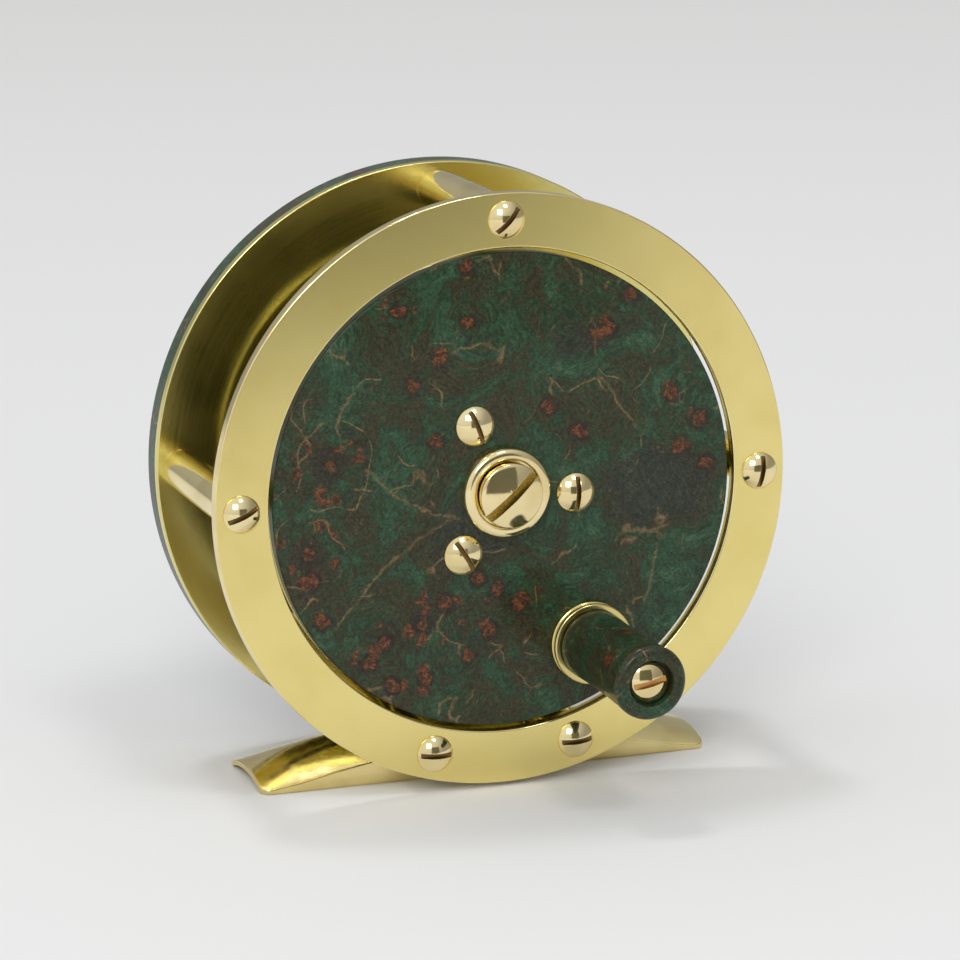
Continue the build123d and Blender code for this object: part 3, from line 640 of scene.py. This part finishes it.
for name, angle in rear_slots.items():
    centre = middle("pillar_" + name)
    slot = (slot_width, slot_depth, angle)
    head = domed_head("cover_screw_" + name, cover_high.y, 1, head_radius, head_height, head_rise,
                      slot, centre)
    dress(head, "frame", (screw_brass, slot_painted_shade), "polished_brass", "rear_screws")


# The foot is filed from bar: flat sides, an arched top that ramps down to thin ends, and
# a hollow underside for the rod. Two countersunk screws hold it to the lower pillars.
foot_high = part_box("foot")[1]
half_length, half_width = foot_high.x, foot_high.y
corner_radius = 1.4 * MM
bm = bmesh.new()
ends = ((-1, -1), (1, -1), (1, 1), (-1, 1))
corners = [bm.verts.new((x * half_length, y * half_width, 0)) for x, y in ends]
bm.faces.new(corners)
bmesh.ops.bevel(bm, geom=corners, offset=corner_radius, segments=6, profile=0.5,
                affect="VERTICES", material=-1)
for steps, across in ((60, Vector((1, 0, 0))), (14, Vector((0, 1, 0)))):
    for step in range(-steps, steps + 1):
        bmesh.ops.bisect_plane(bm, geom=bm.verts[:] + bm.edges[:] + bm.faces[:], dist=1e-7,
                               plane_co=step * 0.5 * MM * across, plane_no=across)
raised = bmesh.ops.extrude_face_region(bm, geom=bm.faces[:])["geom"]
upper = {v for v in raised if isinstance(v, bmesh.types.BMVert)}
stations = ((30.5, 0.5, 1.9), (25.5, 1.15, 3.3), (21.0, 2.1, 4.1), (15.0, 3.1, 4.8), (0.0, 3.1, 4.8))


def foot_heights(x):
    """The foot's edge and crest height this far from its middle."""
    for (far, far_edge, far_crest), (near, near_edge, near_crest) in zip(stations, stations[1:]):
        if x >= near:
            share = (far - x) / (far - near)
            edge = far_edge + share * (near_edge - far_edge)
            return edge, far_crest + share * (near_crest - far_crest)
    return stations[-1][1:]


groove_half, groove_depth = 6.6, 1.2
groove = (groove_half**2 + groove_depth**2) / (2 * groove_depth)
for vert in bm.verts:
    across = vert.co.y / MM
    if vert in upper:
        edge, crest = foot_heights(abs(vert.co.x) / MM)
        rise = crest - edge
        arch = ((half_width / MM)**2 + rise**2) / (2 * rise)
        vert.co.z = (crest - arch + math.sqrt(arch**2 - across**2)) * MM
    elif abs(across) < groove_half:
        vert.co.z = (groove_depth - groove + math.sqrt(groove**2 - across**2)) * MM
bmesh.ops.recalc_face_normals(bm, faces=bm.faces)
borders = [e for e in bm.edges if e.calc_face_angle(0) > math.radians(38)]
bmesh.ops.bevel(bm, geom=borders, offset=0.18 * MM, segments=5, profile=0.5,
                affect="EDGES", material=-1)
foot = put("foot_bar", bm)
for name in ("pillar_lower_left", "pillar_lower_right"):
    bm = bmesh.new()
    radius = reach(name)
    bmesh.ops.create_cone(bm, cap_ends=True, segments=96, radius1=radius, radius2=radius, depth=30 * MM)
    lie_down = Matrix.Rotation(math.radians(90), 3, "X")
    bmesh.ops.rotate(bm, cent=(0, 0, 0), matrix=lie_down, verts=bm.verts)
    centre = middle(name)
    bmesh.ops.translate(bm, vec=(centre.x, 0, centre.z), verts=bm.verts)
    cut(foot, put("seat_tool", bm))
smooth(foot)
foot_brass = metal("foot_brass", (0.90, 0.76, 0.36), 0.19, 0.06)
dress(foot, "frame", foot_brass, "polished_brass", "foot")
recolour("foot_screws", screw_brass)


# The spool: a turned core between two thin brass flanges, running on bronze bushes. The
# ratchet wheel sits behind it and three countersunk screws hold its rear flange.
def drum(name, node, bore, rounding, material):
    """A turned ring of the spool, as wide and as long as its CAD node."""
    low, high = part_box(node)
    outline = (
        (bore, low.y, 0),
        (reach(node), low.y, rounding),
        (reach(node), high.y, rounding),
        (bore, high.y, 0),
    )
    dress(turned(name, outline, hub), "spool", material, "satin_brass", node)


# Painted shade: the spool's brass is coloured darker and duller than the frame's, for the shade inside
# the frame.
spool_brass_painted_shade = brass("spool_brass_painted_shade", (0.60, 0.56, 0.23), 0.18, 0.04, 5.0, 0.0006, True)
drum("front_flange_disc", "front_flange", 4.1 * MM, 0.1 * MM, spool_brass_painted_shade)
drum("rear_flange_disc", "rear_flange", 6.1 * MM, 0.2 * MM, spool_brass_painted_shade)
drum("spool_core_drum", "spool_core", 6.03 * MM, 0.05 * MM, spool_brass_painted_shade)
recolour("front_bush", oiled_bronze)
recolour("rear_bush", oiled_bronze)
recolour("rear_flange_screws", screw_brass)
recolour("ratchet_wheel", turned_steel)


# The spool's face is a disc of the same burl let into the ring's bore, with its edge just
# eased and its front buffed to a gloss. Three domed screws hold it round the hub.
face_low, face_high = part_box("spool_face")
outline = (
    (0, face_low.y, 0),
    (reach("spool_face"), face_low.y, 0.25 * MM),
    (reach("spool_face"), face_high.y, 0.05 * MM),
    (0, face_high.y, 0),
)
spool_face = turned("spool_face_disc", outline, hub, 256)
face_knots = (
    (-14, 0, 24, 2.2), (-5, 0, 22, 2.0), (-5, 0, 29, 1.6), (-8.5, 0, 17.5, 1.8), (-12, 0, 14.5, 1.8),
    (-9, 0, 7, 1.2), (-23, 0, 5, 4.8), (-26, 0, -6, 4.4), (-24, 0, -15, 2.4), (-16, 0, -18.5, 2.6),
    (-8, 0, -14, 3.4), (-1, 0, -12.5, 2.0), (-5, 0, -21, 2.0), (-15, 0, -24, 3.0), (14, 0, 20, 2.6),
    (17, 0, 24, 1.6), (22.5, 0, 11, 1.6), (26.5, 0, 7.5, 1.8), (24, 0, 4, 1.4), (6, 0, 10.5, 1.2),
    (10, 0, 7, 1.3), (27.5, 0, 1.5, 1.4), (-3.5, 0, -11, 2.6), (-11, 0, -16.5, 3.6), (-2, 0, -18, 2.4),
    (-18, 0, -21, 2.6), (-10.5, 0, -23.5, 2.4), (-25.5, 0, -9.5, 2.6), (2, 0, -15, 1.8),
    (-17, 0, -26.5, 2.2),
)
face_veins = (
    ((-2.7, 17.9, 20.9), (-12.5, 0.5, 8)), ((12, -40.5, 42.2), (-15, -9, 11)),
    ((18.2, -11.5, 5), (18.2, -6, 4)), ((-4, -7, 24.8), (20, -11, 6)), ((-15, 9, 7), (-21.5, 11, 4)),
    ((-3.5, 11.5, 7.6), (-5, 18.5, 5)), ((-6, -5, 26.5), (15.4, 10.4, 5)),
)
face_clouds = ((21, 0, 7), (10, 19, 3), (-4, -4, 5), (16, -22, 6))
face_place = hub + Vector((0, face_low.y, 0))
face_burl = burl("face_burl", face_place, face_knots, 1.1, face_veins, face_clouds)
dress(spool_face, "spool", face_burl, "burl", "spool_face")
screw_circle = 9.57 * MM
head_radius, head_height, head_rise = 2.6 * MM, 1.45 * MM, 1.2 * MM
slot_width, slot_depth = 0.6 * MM, 0.8 * MM
for number, (place, slot_angle) in enumerate(((-5.5, 88), (114.5, -68), (234.5, -58)), 1):
    around = math.radians(place)
    centre = hub + screw_circle * Vector((math.cos(around), 0, math.sin(around)))
    slot = (slot_width, slot_depth, slot_angle)
    head = domed_head(f"face_screw_{number}", face_low.y, -1, head_radius, head_height, head_rise,
                      slot, centre)
    dress(head, "spool", (screw_brass, slot_painted_shade), "polished_brass", "face_screws")


# The hub collar is a turned brass cup with a rounded rim. The broad flat screw in it keeps
# the spool on the spindle and can be turned with a coin.
collar_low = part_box("boss_collar")[0]
recess_radius = 4.35 * MM
recess_floor = face_low.y - 0.6 * MM
outline = (
    (0, recess_floor, 0),
    (recess_radius, recess_floor, 0),
    (recess_radius, collar_low.y, 0.3 * MM),
    (reach("boss_collar"), collar_low.y, 0.8 * MM),
    (reach("boss_collar"), face_low.y, 0),
    (0, face_low.y, 0),
)
collar = turned("hub_collar", outline, hub)
dress(collar, "spool", screw_brass, "polished_brass", "boss_collar")
keeper_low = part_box("retaining_screw")[0]
keeper_height = recess_floor - keeper_low.y
keeper_rise = 0.7 * MM
slot = (1.15 * MM, 1.5 * MM, 42)
keeper = domed_head("keeper_screw", recess_floor, -1, reach("retaining_screw"), keeper_height,
                    keeper_rise, slot, hub)
# Painted shade: the keeper's slot faces are coloured dark gold for the shade inside the slot.
keeper_slot_painted_shade = metal("keeper_slot_painted_shade", (0.38, 0.29, 0.09), 0.30, 0.08)
dress(keeper, "frame", (screw_brass, keeper_slot_painted_shade), "polished_brass", "retaining_screw")


# The handle stands on a turned brass collar. Its knob is burl turned to a slight waist,
# bushed with bronze, and kept on its post by a domed screw in a counterbore.
stand = middle("handle_collar")
stand.y = 0
low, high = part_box("handle_collar")
bead, waist = reach("handle_collar"), reach("handle_collar") - 0.22 * MM
outline = (
    (0, low.y, 0),
    (bead, low.y, 0.22 * MM),
    (bead, low.y + 0.5 * MM, 0.1 * MM),
    (waist, low.y + 0.6 * MM, 0.05 * MM),
    (waist, high.y - 0.6 * MM, 0.05 * MM),
    (bead, high.y - 0.5 * MM, 0.1 * MM),
    (bead, high.y, 0.15 * MM),
    (0, high.y, 0),
)
handle_collar = turned("handle_collar_ring", outline, stand, 128)
collar_brass = metal("collar_brass", (0.78, 0.66, 0.28), 0.15, 0.04)
dress(handle_collar, "spool", collar_brass, "polished_brass", "handle_collar")
recolour("handle_post", turned_steel)
recolour("knob_bush", oiled_bronze)
low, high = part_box("knob")
recess, depth, inner = 2.95 * MM, 1.6 * MM, 2.35 * MM
outline = (
    (inner, low.y + depth, 0),
    (recess, low.y + depth, 0),
    (recess, low.y, 0.25 * MM),
    (4.8 * MM, low.y, 1.1 * MM),
    (4.3 * MM, (low.y + high.y) / 2, 6 * MM),
    (4.6 * MM, high.y, 0.4 * MM),
    (inner, high.y, 0),
)
knob = turned("handle_knob", outline, stand, 128)
# Painted shade: the knob screw's slot faces are coloured dark copper for the shade inside the slot.
knob_slot_painted_shade = metal("knob_slot_painted_shade", (0.62, 0.36, 0.12), 0.35, 0.08)
knob_burl = burl("knob_burl", stand, ((-4, -30, 2, 1.3), (3, -20, -3, 1.5), (0, -26, 4, 1.1)), 1.0)
dress(knob, "knob", knob_burl, "burl", "knob")
seat = low.y + depth - 0.05 * MM
head_radius, head_height, head_rise = 2.6 * MM, 1.3 * MM, 0.8 * MM
slot = (0.75 * MM, 0.55 * MM, 12)
knob_screw = domed_head("knob_end_screw", seat, -1, head_radius, head_height, head_rise, slot, stand)
dress(knob_screw, "spool", (screw_brass, knob_slot_painted_shade), "polished_brass", "knob_screw")
